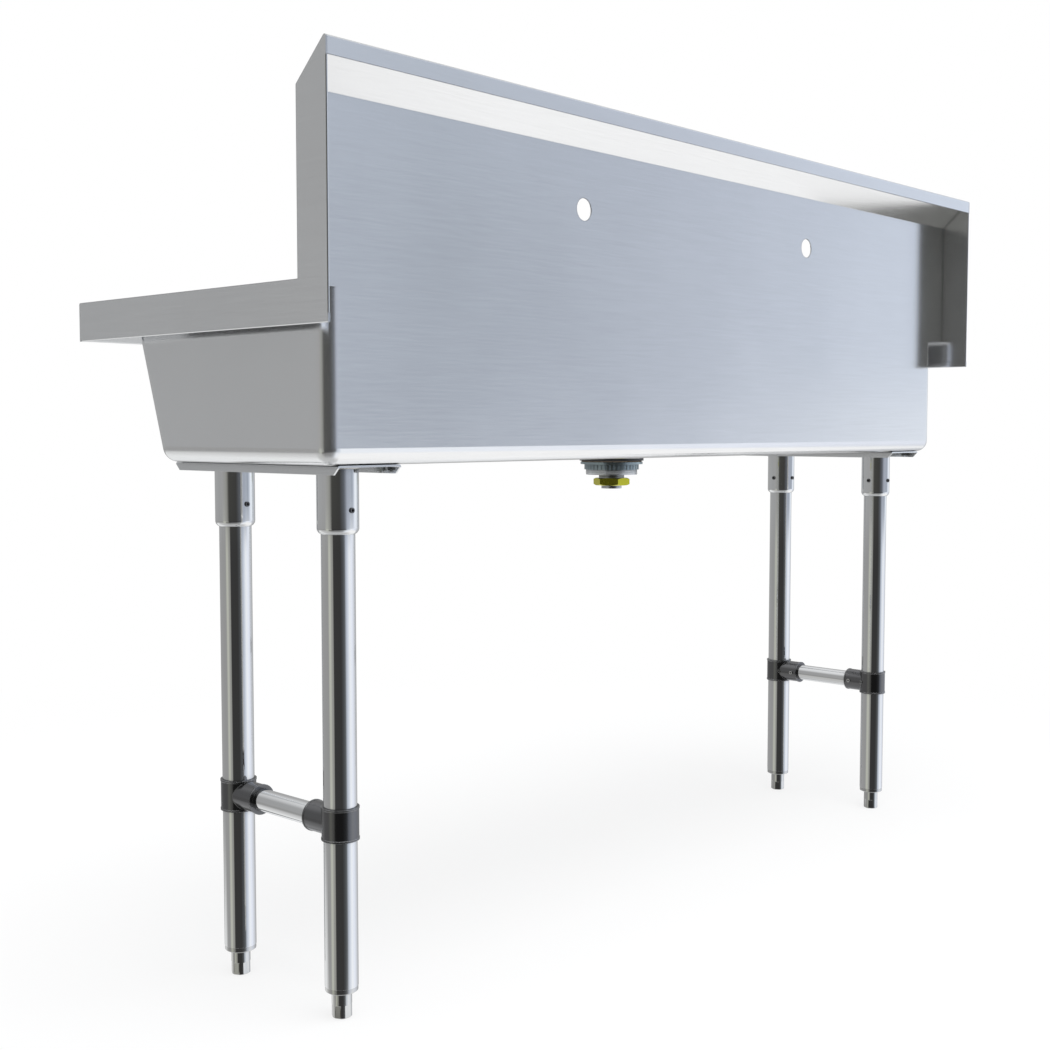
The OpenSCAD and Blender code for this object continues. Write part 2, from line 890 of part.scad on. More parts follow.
module strainer_body() color(POLISHED)
    translate([0, drain_y, 0]) {
        inner_r = cup_r - cup_wall;
        rotate_extrude()
            polygon([
                [flange_d / 2, flange_z],
                [flange_d / 2 - cup_wall, flange_top],
                [inner_r + cup_wall, flange_top],
                [inner_r, flange_z],
                [inner_r, cup_floor],
                [neck_bore, cup_floor],
                [neck_bore, neck_z],
                [neck_r, neck_z],
                [neck_r, cup_z],
                [cup_r, cup_z],
                [cup_r, flange_z]
            ]);
        // Cross in the outlet that guides the basket's post
        difference() {
            translate([0, 0, bar_z]) {
                cylinder(h = cup_floor - bar_z, r = post_d);
                for (turn = [0, 90])
                    rotate([0, 0, turn])
                        translate([-neck_bore - neck_wall / 2, -bar_width / 2, 0])
                            cube([2 * neck_bore + neck_wall, bar_width, cup_floor - bar_z]);
            }
            translate([0, 0, bar_z - over])
                cylinder(h = cup_floor - bar_z + 2 * over, r = post_r + loose_gap);
        }
    }

module strainer_gasket() color(BLACK)
    translate([0, drain_y, 0])
        ring(cup_hole_r, gasket_d / 2, gasket_z, recess_under);

module fibre_ring() color(FIBRE)
    translate([0, drain_y, 0])
        ring(cup_hole_r, fibre_d / 2, fibre_z, gasket_z);

module locknut() color(ZINC)
    translate([0, drain_y, locknut_z])
        difference() {
            union() {
                cylinder(h = locknut_height, d = locknut_d);
                translate([0, 0, locknut_height - locknut_flange_t])
                    cylinder(h = locknut_flange_t, d = locknut_flange_d);
            }
            translate([0, 0, -over])
                cylinder(h = locknut_height + 2 * over, r = cup_r + thread_gap);
            for (i = [1 : groove_count])
                rotate([0, 0, i * 360 / groove_count])
                    translate([locknut_d / 2 + groove_d / 4, 0, -over])
                        cylinder(h = locknut_height - 1.3 * locknut_flange_t + over, d = groove_d, $fn = 24);
        }

module coupling_nut() color(BRASS)
    translate([0, drain_y, coupling_z])
        difference() {
            intersection() {
                cylinder(h = coupling_height, d = coupling_flats / cos(30), $fn = 6);
                rotate_extrude()
                    polygon([
                        [0, 0],
                        [coupling_flats / 2, 0],
                        [coupling_flats * 2 / 3, coupling_height / 3],
                        [coupling_flats * 2 / 3, coupling_height * 2 / 3],
                        [coupling_flats / 2, coupling_height],
                        [0, coupling_height]
                    ]);
            }
            translate([0, 0, cup_wall])
                cylinder(h = coupling_height, r = neck_r + thread_gap);
            translate([0, 0, -over])
                cylinder(h = coupling_height, r = tail_r + loose_gap);
        }

module tail_washer() color(BLACK)
    translate([0, drain_y, 0])
        ring(tail_bore, neck_r - loose_gap, washer_z, neck_z);

module tail_stub() color(POLISHED)
    translate([0, drain_y, 0])
        rotate_extrude()
            polygon([
                [tail_bore, tail_z],
                [tail_r, tail_z],
                [tail_r, coupling_z - loose_gap],
                [tail_r + loose_gap / 2, coupling_z - loose_gap],
                [tail_r + loose_gap / 2, tail_flange_z],
                [neck_r - loose_gap, tail_flange_z],
                [neck_r - loose_gap, washer_z],
                [tail_bore, washer_z]
            ]);

module basket_cup() color(POLISHED)
    translate([0, drain_y, 0])
        difference() {
            union() {
                ring(post_r + thread_gap, basket_r, basket_z, basket_z + basket_wall);
                ring(basket_r - basket_wall, basket_r, basket_z, basket_top);
                translate([0, 0, basket_top])
                    rotate_extrude()
                        translate([basket_r, 0])
                            circle(cup_wall, $fn = 32);
            }
            for (i = [1 : basket_holes]) {
                for (level = [1, 2])
                    rotate([0, 0, (i + level / 2) * 360 / basket_holes])
                        translate([basket_r - basket_hole_d / 2, 0, basket_z + level * basket_height / 3])
                            rotate([0, 90, 0])
                                cylinder(h = basket_hole_d, d = basket_hole_d, $fn = 24);
                rotate([0, 0, i * 360 / basket_holes])
                    translate([(stopper_r + basket_r) / 2, 0, basket_z - over])
                        cylinder(h = basket_wall + 2 * over, d = basket_hole_d, $fn = 24);
            }
        }

module basket_stopper() color(BLACK)
    translate([0, drain_y, 0])
        rotate_extrude()
            polygon([
                [post_r + thread_gap, stopper_z],
                [stopper_r - gasket_t / 4, stopper_z],
                [stopper_r, stopper_z + gasket_t / 2],
                [stopper_r - gasket_t, basket_z],
                [post_r + thread_gap, basket_z]
            ]);

module basket_post() color(POLISHED)
    translate([0, drain_y, 0]) {
        translate([0, 0, bar_z])
            cylinder(h = knob_z + knob_r / 3 - bar_z, r = post_r);
        translate([0, 0, knob_z])
            rotate_extrude()
                intersection() {
                    translate([0, knob_r / 3])
                        circle(knob_r);
                    square([knob_r, knob_r]);
                }
    }

bowl();
deck();
backsplash();
end_panel_left();
end_panel_right();
leg_channel_left();
leg_channel_right();
channel_studs();
channel_nuts();
leg_socket_front_left();
leg_socket_front_right();
leg_socket_rear_left();
leg_socket_rear_right();
socket_screws_left();
socket_screws_right();
leg_tube_front_left();
leg_tube_front_right();
leg_tube_rear_left();
leg_tube_rear_right();
tee_front_left();
tee_front_right();
tee_rear_left();
tee_rear_right();
tee_screws_left();
tee_screws_right();
cross_rail_left();
cross_rail_right();
foot_insert_front_left();
foot_insert_front_right();
foot_insert_rear_left();
foot_insert_rear_right();
foot_front_left();
foot_front_right();
foot_rear_left();
foot_rear_right();
strainer_body();
strainer_gasket();
fibre_ring();
locknut();
coupling_nut();
tail_washer();
tail_stub();
basket_cup();
basket_stopper();
basket_post();
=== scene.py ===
import bpy
import bmesh
import math
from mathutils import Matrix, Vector


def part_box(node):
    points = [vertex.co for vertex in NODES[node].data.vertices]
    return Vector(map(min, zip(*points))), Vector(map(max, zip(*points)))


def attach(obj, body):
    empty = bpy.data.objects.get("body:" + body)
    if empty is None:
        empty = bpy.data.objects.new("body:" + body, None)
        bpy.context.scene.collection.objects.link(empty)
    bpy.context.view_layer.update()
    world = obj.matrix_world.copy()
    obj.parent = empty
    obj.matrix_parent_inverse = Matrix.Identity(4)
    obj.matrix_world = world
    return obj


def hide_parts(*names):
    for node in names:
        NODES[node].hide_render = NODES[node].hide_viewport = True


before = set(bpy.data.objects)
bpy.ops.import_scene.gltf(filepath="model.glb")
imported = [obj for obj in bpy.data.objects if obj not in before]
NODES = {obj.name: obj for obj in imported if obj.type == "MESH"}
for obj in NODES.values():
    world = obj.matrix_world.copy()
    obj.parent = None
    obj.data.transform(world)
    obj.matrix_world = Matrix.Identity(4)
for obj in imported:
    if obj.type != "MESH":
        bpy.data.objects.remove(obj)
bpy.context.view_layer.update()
SIDES = ("left", "right")
ENDS = ("front", "rear")
LEGS = ["_%s_%s" % (end, side) for side in SIDES for end in ENDS]
WHITE = (1.0, 1.0, 1.0)

# Camera: behind the sink, near its right end, 718 mm above the floor, looking a little down
CAMERA_PLACE = (1.7428, 1.4449, 0.7180)
CAMERA_WAY = (-0.7349, -0.6754, -0.0621)
CAMERA_SENSOR = 36
CAMERA_LENS = 48.58
CAMERA_SHIFT = (-0.0019, -0.0086)
CAMERA_CLIP = 0.05

# Floor: white all over for the camera, but for a share near the middle that keeps the sink's shadow
FLOOR_RADIUS = 9.0
FLOOR_SIDES = 96
FLOOR_Z = -0.0006
FLOOR_COLOUR = (0.93, 0.93, 0.93)
FLOOR_FADE = (0.8, 2.2)
FLOOR_WHITE_SHARE = (0.80, 1.0)

# Lamp overhead, which no metal mirrors
LAMP_PLACE = (0.3, 0.6, 3.2)
LAMP_AIM = (0, 0, 0)
LAMP_SIZE = 2.6
LAMP_POWER = 95

# The studio as the metal in the photo mirrors it, by compass angle in degrees, where 0 is past the right end
# and 90 is behind the sink: dark behind the camera and bright at the rear left. ABOVE is what lies over the
# horizon, LEVEL a narrow band along it, BELOW what the tubes mirror under it, and GROUND the floor.
ABOVE = (
    (-180, (0.56, 0.60, 0.66)),
    (-150, (0.42, 0.42, 0.42)),
    (-60, (0.37, 0.375, 0.38)),
    (-20, (0.36, 0.36, 0.36)),
    (4, (0.30, 0.30, 0.28)),
    (18, (0.06, 0.06, 0.055)),
    (60, (0.05, 0.05, 0.048)),
    (84, (0.12, 0.13, 0.15)),
    (102, (0.40, 0.43, 0.50)),
    (122, (0.44, 0.48, 0.56)),
    (134, (0.38, 0.42, 0.485)),
    (143, (0.455, 0.495, 0.58)),
    (155, (0.69, 0.755, 0.87)),
    (168, (0.80, 0.86, 0.95)),
    (180, (0.56, 0.60, 0.66)),
)
LEVEL = (
    (-180, (0.56, 0.60, 0.66)),
    (-150, (0.42, 0.42, 0.42)),
    (-60, (0.37, 0.375, 0.38)),
    (-20, (0.36, 0.36, 0.36)),
    (4, (0.30, 0.30, 0.28)),
    (18, (0.06, 0.06, 0.055)),
    (60, (0.05, 0.05, 0.048)),
    (84, (0.12, 0.13, 0.15)),
    (102, (0.38, 0.41, 0.48)),
    (122, (0.41, 0.45, 0.52)),
    (134, (0.35, 0.385, 0.45)),
    (143, (0.50, 0.545, 0.635)),
    (155, (0.88, 0.93, 1.0)),
    (168, (0.90, 0.95, 1.0)),
    (180, (0.56, 0.60, 0.66)),
)
BELOW = (
    (-180, (0.62, 0.64, 0.68)),
    (-150, (0.40, 0.40, 0.40)),
    (-60, (0.33, 0.33, 0.33)),
    (-24, (0.32, 0.32, 0.315)),
    (-16, (0.50, 0.51, 0.45)),
    (-6, (0.50, 0.51, 0.45)),
    (2, (0.34, 0.34, 0.32)),
    (12, (0.30, 0.30, 0.28)),
    (17, (0.042, 0.042, 0.042)),
    (64, (0.040, 0.040, 0.040)),
    (80, (0.075, 0.08, 0.085)),
    (92, (0.13, 0.14, 0.15)),
    (100, (0.45, 0.49, 0.56)),
    (114, (0.68, 0.73, 0.82)),
    (128, (0.93, 0.96, 1.0)),
    (150, (0.86, 0.90, 1.0)),
    (180, (0.62, 0.64, 0.68)),
)
GROUND = (
    (-180, (1.0, 1.0, 1.0)),
    (-168, (0.96, 0.97, 0.98)),
    (-145, (0.78, 0.79, 0.80)),
    (-112, (0.82, 0.83, 0.84)),
    (-80, (0.86, 0.87, 0.87)),
    (-55, (0.56, 0.56, 0.56)),
    (-15, (0.50, 0.50, 0.48)),
    (14, (0.26, 0.26, 0.26)),
    (60, (0.24, 0.24, 0.24)),
    (82, (0.34, 0.35, 0.36)),
    (104, (0.86, 0.89, 0.94)),
    (135, (1.0, 1.0, 1.0)),
    (180, (1.0, 1.0, 1.0)),
)
CEILING = (0.78, 0.79, 0.80)
SHADED_FLOOR = (0.52, 0.525, 0.53)
DARK_STAND = (0.08, 0.08, 0.07)

# Where one part of the studio turns into the next, as the Z of a direction, in which 1 is straight up
LEVEL_FADE = (0.05, -0.01)
BELOW_FADE = (-0.05, -0.09)
GROUND_FADE = (-0.30, -0.42)
SHADED_FADE = (-0.70, -0.98)
CEILING_FADE = (0.35, 0.80)

# How much brighter the wall at the back gets higher up, and over which spans of a direction's Y and Z
BACK_LIFT = 0.22
BACK_LIFT_Y = (0.2, 0.6)
BACK_LIFT_Z = (0.15, 0.25)

# How far the start of the floor moves down or up in a direction. TILT_WAY is the level way past the right
# end in which it lies lowest.
TILT_RIGHT = 0.13
TILT_WAY = (0.94, 0.34)
TILT_LEFT = (-0.05, -0.20)
TILT_LEFT_Y = (0.07, -0.10)
TILT_FRONT = 0.06

# Edges of the dark stand past the right end, as a compass angle in radians and as the Z of a direction
STAND_START = (-0.16, 0.0)
STAND_END = (0.52, 0.36)
STAND_TOP = (-0.37, -0.41)
STAND_FOOT = (-0.58, -0.49)


class Graph:
    """Short names for building a node tree."""

    def __init__(self, tree):
        self.tree = tree
        tree.nodes.clear()

    def add(self, kind, **values):
        node = self.tree.nodes.new(kind)
        for key, value in values.items():
            setattr(node, key, value)
        return node

    def link(self, a, b):
        self.tree.links.new(a, b)

    def put(self, value, socket):
        """Writes a number or a colour on a socket, or links another node's output to it."""
        if isinstance(value, (int, float)):
            socket.default_value = value
        elif isinstance(value, tuple):
            socket.default_value = (*value, 1)
        else:
            self.link(value, socket)

    def math(self, operation, a, b):
        node = self.add("ShaderNodeMath", operation=operation)
        self.put(a, node.inputs[0])
        self.put(b, node.inputs[1])
        return node.outputs[0]

    def sum(self, a, b):
        return self.math("ADD", a, b)

    def product(self, a, b):
        return self.math("MULTIPLY", a, b)

    def split(self, vector):
        node = self.add("ShaderNodeSeparateXYZ")
        self.link(vector, node.inputs[0])
        return node.outputs

    def scale(self, vector, factor):
        node = self.add("ShaderNodeVectorMath", operation="SCALE")
        self.link(vector, node.inputs[0])
        self.link(factor, node.inputs["Scale"])
        return node.outputs[0]

    def remap(self, value, span, out=(0, 1), smooth=False):
        """Turns the span of a value into the span out, and holds it at both ends."""
        node = self.add("ShaderNodeMapRange")
        if smooth:
            node.interpolation_type = "SMOOTHSTEP"
        self.link(value, node.inputs["Value"])
        self.put(span[0], node.inputs["From Min"])
        self.put(span[1], node.inputs["From Max"])
        self.put(out[0], node.inputs["To Min"])
        self.put(out[1], node.inputs["To Max"])
        return node.outputs["Result"]

    def fade(self, value, span):
        return self.remap(value, span, smooth=True)

    def ramp(self, value, stops):
        node = self.add("ShaderNodeValToRGB")
        self.link(value, node.inputs[0])
        ramp = node.color_ramp
        while len(ramp.elements) > 1:
            ramp.elements.remove(ramp.elements[-1])
        ramp.elements[0].position = stops[0][0]
        ramp.elements[0].color = (*stops[0][1], 1)
        for place, colour in stops[1:]:
            ramp.elements.new(place).color = (*colour, 1)
        return node.outputs["Color"]

    def mix(self, share, a, b):
        node = self.add("ShaderNodeMix", data_type="RGBA")
        self.put(share, node.inputs[0])
        self.put(a, node.inputs[6])
        self.put(b, node.inputs[7])
        return node.outputs[2]

    def noise(self, place, scale, detail, rough, stretch=(1, 1, 1)):
        moved = self.add("ShaderNodeMapping")
        moved.inputs["Scale"].default_value = stretch
        self.link(place, moved.inputs["Vector"])
        node = self.add("ShaderNodeTexNoise")
        self.put(scale, node.inputs["Scale"])
        self.put(detail, node.inputs["Detail"])
        self.put(rough, node.inputs["Roughness"])
        self.link(moved.outputs[0], node.inputs["Vector"])
        return node.outputs["Fac"]


def make_camera():
    data = bpy.data.cameras.new("camera")
    data.sensor_width = CAMERA_SENSOR
    data.lens = CAMERA_LENS
    data.shift_x, data.shift_y = CAMERA_SHIFT
    data.clip_start = CAMERA_CLIP
    camera = bpy.data.objects.new("camera", data)
    bpy.context.collection.objects.link(camera)
    camera.location = CAMERA_PLACE
    camera.rotation_mode = "QUATERNION"
    camera.rotation_quaternion = Vector(CAMERA_WAY).to_track_quat("-Z", "Y")
    bpy.context.scene.camera = camera


def wall(g, rings, y, z):
    """What stands round the sink: a little brighter higher up at the back."""
    above, level, below = rings
    back = g.remap(y, BACK_LIFT_Y, (0, BACK_LIFT))
    lift = g.sum(1.0, g.product(back, g.remap(z, BACK_LIFT_Z)))
    upper = g.mix(g.fade(z, LEVEL_FADE), g.scale(above, lift), level)
    return g.mix(g.fade(z, BELOW_FADE), upper, below)


def floor_share(g, x, y, z):
    """Where the floor shows: it starts lower down past the right end and at the left, and higher up at the
    front."""
    ahead = g.sum(g.product(x, TILT_WAY[0]), g.product(y, TILT_WAY[1]))
    right = g.product(g.math("MAXIMUM", ahead, 0.0), TILT_RIGHT)
    left = g.product(g.math("MINIMUM", x, 0.0), g.remap(y, TILT_LEFT_Y, TILT_LEFT, True))
    front = g.product(g.math("MINIMUM", y, 0.0), TILT_FRONT)
    tilt = g.sum(g.sum(right, left), front)
    return g.fade(g.sum(z, tilt), GROUND_FADE)


def stand_share(g, turn, z):
    """Something dark on the floor past the right end. It shows where the left end panel mirrors the slope of
    the splash."""
    across = g.product(g.fade(turn, STAND_START), g.fade(turn, STAND_END))
    down = g.product(g.fade(z, STAND_TOP), g.fade(z, STAND_FOOT))
    return g.product(across, down)


def make_world():
    world = bpy.data.worlds.new("studio")
    bpy.context.scene.world = world
    world.use_nodes = True
    g = Graph(world.node_tree)
    x, y, z = g.split(g.add("ShaderNodeTexCoord").outputs["Generated"])
    turn = g.math("ARCTAN2", y, x)
    place = g.remap(turn, (-math.pi, math.pi))

    def ring(stops):
        return g.ramp(place, [((angle + 180) / 360, colour) for angle, colour in stops])

    round_about = wall(g, [ring(stops) for stops in (ABOVE, LEVEL, BELOW)], y, z)
    floor = g.mix(g.fade(z, SHADED_FADE), ring(GROUND), SHADED_FLOOR)
    room = g.mix(floor_share(g, x, y, z), round_about, floor)
    room = g.mix(stand_share(g, turn, z), room, DARK_STAND)
    room = g.mix(g.fade(z, CEILING_FADE), room, CEILING)
    seen = g.add("ShaderNodeLightPath").outputs["Is Camera Ray"]
    shine = g.add("ShaderNodeBackground")
    shine.inputs["Strength"].default_value = 1.0
    g.link(g.mix(seen, room, WHITE), shine.inputs["Color"])
    out = g.add("ShaderNodeOutputWorld")
    g.link(shine.outputs[0], out.inputs["Surface"])


def make_lamp():
    data = bpy.data.lights.new("overhead", "AREA")
    data.shape = "DISK"
    data.size = LAMP_SIZE
    data.energy = LAMP_POWER
    lamp = bpy.data.objects.new("overhead", data)
    bpy.context.collection.objects.link(lamp)
    lamp.location = LAMP_PLACE
    lamp.rotation_euler = (Vector(LAMP_AIM) - Vector(LAMP_PLACE)).to_track_quat("-Z", "Y").to_euler()
    lamp.visible_glossy = False


def floor_white():
    mat = bpy.data.materials.new("floor_white")
    mat.use_nodes = True
    g = Graph(mat.node_tree)
    far = g.add("ShaderNodeVectorMath", operation="LENGTH")
    g.link(g.add("ShaderNodeTexCoord").outputs["Object"], far.inputs[0])
    share = g.remap(far.outputs["Value"], FLOOR_FADE, FLOOR_WHITE_SHARE, True)
    seen = g.product(share, g.add("ShaderNodeLightPath").outputs["Is Camera Ray"])
    dull = g.add("ShaderNodeBsdfDiffuse")
    g.put(FLOOR_COLOUR, dull.inputs["Color"])
    glow = g.add("ShaderNodeEmission")
    g.put(WHITE, glow.inputs["Color"])
    glow.inputs["Strength"].default_value = 1.0
    both = g.add("ShaderNodeMixShader")
    g.link(seen, both.inputs[0])
    g.link(dull.outputs[0], both.inputs[1])
    g.link(glow.outputs[0], both.inputs[2])
    out = g.add("ShaderNodeOutputMaterial")
    g.link(both.outputs[0], out.inputs["Surface"])
    return mat


def make_floor():
    bm = bmesh.new()
    bmesh.ops.create_circle(bm, cap_ends=True, radius=FLOOR_RADIUS, segments=FLOOR_SIDES)
    mesh = bpy.data.meshes.new("floor")
    bm.to_mesh(mesh)
    bm.free()
    mesh.materials.append(floor_white())
    floor = bpy.data.objects.new("floor", mesh)
    bpy.context.collection.objects.link(floor)
    floor.location.z = FLOOR_Z
    floor.visible_glossy = False


# Way of the scratches: a noise squeezed along the other two axes
ALONG_X = (0.03, 1, 1)
ALONG_Y = (1, 0.03, 1)
ALONG_Z = (1, 1, 0.03)
EVEN = (1, 1, 1)

# Colours of the bare metals
STEEL = (0.90, 0.905, 0.91)
POLISHED = (0.88, 0.885, 0.89)

# The middle part of a noise, in which most of its values lie
NOISE_SPAN = (0.3, 0.7)

# How the metals vary: the tint by large clouds, the light by fine and broad scratches, and the roughness by
# clouds and fine scratches
FINE_DETAIL = 4.0
FINE_ROUGH = 0.62
FINE_LIGHT = (0.985, 1.012)
BROAD_SCALE_SHARE = 0.45
BROAD_DETAIL = 2.0
BROAD_ROUGH = 0.5
BROAD_LIGHT = (0.985, 1.013)
CLOUD_SCALE = 5.0
CLOUD_DETAIL = 3.0
CLOUD_ROUGH = 0.5
CLOUD_DARK = 0.95
CLOUD_LIGHT = 1.04
ROUGH_SPREAD_SHARE = 0.1

# Painted highlight on edges: the cosine between the rounded surface and the flat one where the lighter edge
# starts and where it is full, and how bright the painted highlight gets
EDGE_TURN = (0.99, 0.85)
EDGE_HIGHLIGHT_GAIN = 1.18
EDGE_HIGHLIGHT_LIFT = 0.03
CAST_EDGE_HIGHLIGHT_LIFT = 0.30
EDGE_SAMPLES = 4

# Painted shade as dark lines along a sheet's bends, with the same cosine, and the radius in metres that finds
# a bend
CREASE_TURN = (0.99, 0.96)
CREASE_RADIUS = 0.0016
CREASE_SHADE_GAIN = 0.30
CREASE_SAMPLES = 6

# Shade in the gaps between pieces: how far away in metres a neighbour counts, and the open share of the
# surroundings where the shade is full and where it ends
GAP_REACH = 0.013
GAP_OPEN = (0.40, 0.92)
GAP_SAMPLES = 6

RELIEF_UNIT = 0.001
RELIEF_STRENGTH = 0.35
CAST_RELIEF_STRENGTH = 1.0


def scaled(colour, gain, light=0.0):
    return tuple(min(1.0, gain * c + light) for c in colour)


def bevel_normal(g, radius, samples):
    bevel = g.add("ShaderNodeBevel", samples=samples)
    bevel.inputs["Radius"].default_value = radius
    return bevel.outputs[0]


def edge_share(g, rounded, span):
    """1 where the rounded surface turns away from the flat one."""
    turn = g.add("ShaderNodeVectorMath", operation="DOT_PRODUCT")
    g.link(rounded, turn.inputs[0])
    g.link(g.add("ShaderNodeNewGeometry").outputs["Normal"], turn.inputs[1])
    return g.remap(turn.outputs["Value"], span)


def gap_light(g, gap):
    """The share of light in a gap between pieces, down to gap."""
    around = g.add("ShaderNodeAmbientOcclusion", samples=GAP_SAMPLES)
    around.inputs["Distance"].default_value = GAP_REACH
    return g.remap(around.outputs["AO"], GAP_OPEN, (gap, 1.0), True)


def metal(
    name, colour, rough, grain, relief, scale,
    metallic=1.0, soft=0.0003, cast=False, painted_edge_share=0.35, crease_shade_from=None, gap=0.58,
):
    """Brushed, drawn or cast metal, rubber or fibre. grain is the way of its scratches, relief their depth
    in millimetres, and a larger scale makes them finer. soft is the radius of its edges in metres, and
    painted_edge_share the share of painted highlight on them, which makes them lighter.

    crease_shade_from is the height in metres above which the bends of a sheet get painted shade, dark lines
    with painted_edge_share as their share, in place of the painted highlight on edges, and gap the share of
    light that is left in the gap between two pieces."""
    mat = bpy.data.materials.new(name)
    mat.use_nodes = True
    mat.diffuse_color = (*colour, 1)
    g = Graph(mat.node_tree)
    place = g.add("ShaderNodeTexCoord").outputs["Object"]
    fine = g.noise(place, scale, FINE_DETAIL, FINE_ROUGH, grain)
    broad = g.noise(place, BROAD_SCALE_SHARE * scale, BROAD_DETAIL, BROAD_ROUGH, grain)
    cloud = g.noise(place, CLOUD_SCALE, CLOUD_DETAIL, CLOUD_ROUGH)

    tint = g.mix(cloud, scaled(colour, CLOUD_DARK), scaled(colour, CLOUD_LIGHT))
    light = g.product(g.remap(fine, NOISE_SPAN, FINE_LIGHT), g.remap(broad, NOISE_SPAN, BROAD_LIGHT))
    rounded = bevel_normal(g, soft, EDGE_SAMPLES)
    if crease_shade_from is None:
        # Painted highlight: edges lighter than the flat metal
        edge = edge_share(g, rounded, EDGE_TURN)
        painted_edge_colour = scaled(colour, EDGE_HIGHLIGHT_GAIN, CAST_EDGE_HIGHLIGHT_LIFT if cast else EDGE_HIGHLIGHT_LIFT)
    else:
        # Painted shade: dark lines along the bends, above crease_shade_from
        bend = edge_share(g, bevel_normal(g, CREASE_RADIUS, CREASE_SAMPLES), CREASE_TURN)
        edge = g.product(bend, g.math("GREATER_THAN", g.split(place)["Z"], crease_shade_from))
        painted_edge_colour = scaled(colour, CREASE_SHADE_GAIN)
    surface = g.mix(g.product(edge, painted_edge_share), g.scale(tint, light), painted_edge_colour)

    bsdf = g.add("ShaderNodeBsdfPrincipled")
    bsdf.inputs["Metallic"].default_value = metallic
    g.link(g.scale(surface, gap_light(g, gap)), bsdf.inputs["Base Color"])
    spread = (-ROUGH_SPREAD_SHARE * rough, ROUGH_SPREAD_SHARE * rough)
    patches = g.sum(g.remap(cloud, NOISE_SPAN, spread), g.remap(fine, NOISE_SPAN, spread))
    g.link(g.sum(patches, rough), bsdf.inputs["Roughness"])
    bump = g.add("ShaderNodeBump")
    bump.inputs["Strength"].default_value = CAST_RELIEF_STRENGTH if cast else RELIEF_STRENGTH
    bump.inputs["Distance"].default_value = relief * RELIEF_UNIT
    g.link(fine, bump.inputs["Height"])
    g.link(rounded, bump.inputs["Normal"])
    g.link(bump.outputs[0], bsdf.inputs["Normal"])
    out = g.add("ShaderNodeOutputMaterial")
    g.link(bsdf.outputs[0], out.inputs["Surface"])
    return mat


def paint(material, *nodes):
    for node in nodes:
        for slot in NODES[node].material_slots:
            slot.material = material


def on_sides(name):
    return ["%s_%s" % (name, side) for side in SIDES]


def on_legs(name):
    return [name + leg for leg in LEGS]


def make_sheets():
    """Bowl, deck, splash, end panels and the channels under them."""
    # Painted highlight on the edges of the bowl, deck and channels; painted shade as dark lines along the
    # bends of the splash and end panels
    look = dict(colour=STEEL, relief=0.008, scale=900, soft=0.00012)
    bowl = metal("sheet_brushed_x", rough=0.17, grain=ALONG_X, metallic=0.95, **look)
    splash = metal(
        "splash_brushed", rough=0.17, grain=ALONG_X, metallic=0.95, painted_edge_share=0.9, crease_shade_from=0.95, gap=0.85, **look
    )
    panel = metal(
        "panel_brushed", rough=0.18, grain=ALONG_Y, metallic=0.975, painted_edge_share=0.4, crease_shade_from=0.0, gap=0.85, **look
    )
    mill = (0.86, 0.87, 0.88)
    channel = metal("channel_mill", mill, rough=0.22, grain=ALONG_Y, relief=0.010, scale=500, gap=0.75)
    paint(bowl, "bowl", "deck")
    paint(splash, "backsplash")
    paint(panel, *on_sides("end_panel"))
    paint(channel, *on_sides("leg_channel"))


def make_legs():
    """Sockets, tubes, rails, tees and inserts."""
    socket = metal("socket_turned", POLISHED, rough=0.075, grain=ALONG_Z, relief=0.003, scale=500)
    tube = metal("tube_polished", POLISHED, rough=0.05, grain=ALONG_Z, relief=0.002, scale=600)
    rail = metal("rail_polished", POLISHED, rough=0.05, grain=ALONG_Y, relief=0.002, scale=600)
    iron = (0.185, 0.185, 0.19)
    # Strong painted highlight on the edges of the tee castings
    casting = metal(
        "tee_casting", iron, rough=0.15, grain=EVEN, relief=0.02, scale=420, soft=0.0013, cast=True, painted_edge_share=0.9
    )
    grey = (0.70, 0.70, 0.695)
    insert = metal("insert_turned", grey, rough=0.12, grain=ALONG_Z, relief=0.004, scale=500)
    paint(socket, *on_legs("leg_socket"))
    paint(tube, *on_legs("leg_tube"))
    paint(rail, *on_sides("cross_rail"))
    paint(casting, *on_legs("tee"))
    paint(insert, *on_legs("foot_insert"))


def make_fasteners(bright):
    """Set screws, and the channels' studs and nuts. bright is the metal of the studs and the tees' screws."""
    black = (0.16, 0.16, 0.165)
    dark = metal("screw_blackened", black, rough=0.26, grain=EVEN, relief=0.006, scale=900)
    zinc = (0.62, 0.65, 0.64)
    nut = metal("nut_zinc", zinc, rough=0.28, grain=EVEN, relief=0.010, scale=800)
    paint(dark, *on_sides("socket_screws"))
    paint(bright, "channel_studs", *on_sides("tee_screws"))
    paint(nut, "channel_nuts")


def make_strainer(satin):
    """The strainer, its nuts and washers, and the basket. satin is the metal of its pressings."""
    black = (0.026, 0.026, 0.028)
    rubber = metal("gasket_rubber", black, rough=0.40, grain=EVEN, relief=0.03, scale=300, metallic=0.0)
    brown = (0.38, 0.30, 0.22)
    fibre = metal("fibre_ring", brown, rough=0.80, grain=EVEN, relief=0.03, scale=500, metallic=0.0)
    zinc = (0.40, 0.475, 0.50)
    locknut = metal("locknut_zinc", zinc, rough=0.24, grain=EVEN, relief=0.05, scale=700)
    yellow = (0.76, 0.72, 0.055)
    brass = metal("coupling_brass", yellow, rough=0.18, grain=ALONG_Z, relief=0.008, scale=500)
    paint(satin, "strainer_body", "tail_stub", "basket_cup", "basket_post")
    paint(rubber, "strainer_gasket", "tail_washer", "basket_stopper")
    paint(fibre, "fibre_ring")
    paint(locknut, "locknut")
    paint(brass, "coupling_nut")


# Angle in degrees from which an edge of a new piece is sharp
SHARP = 35


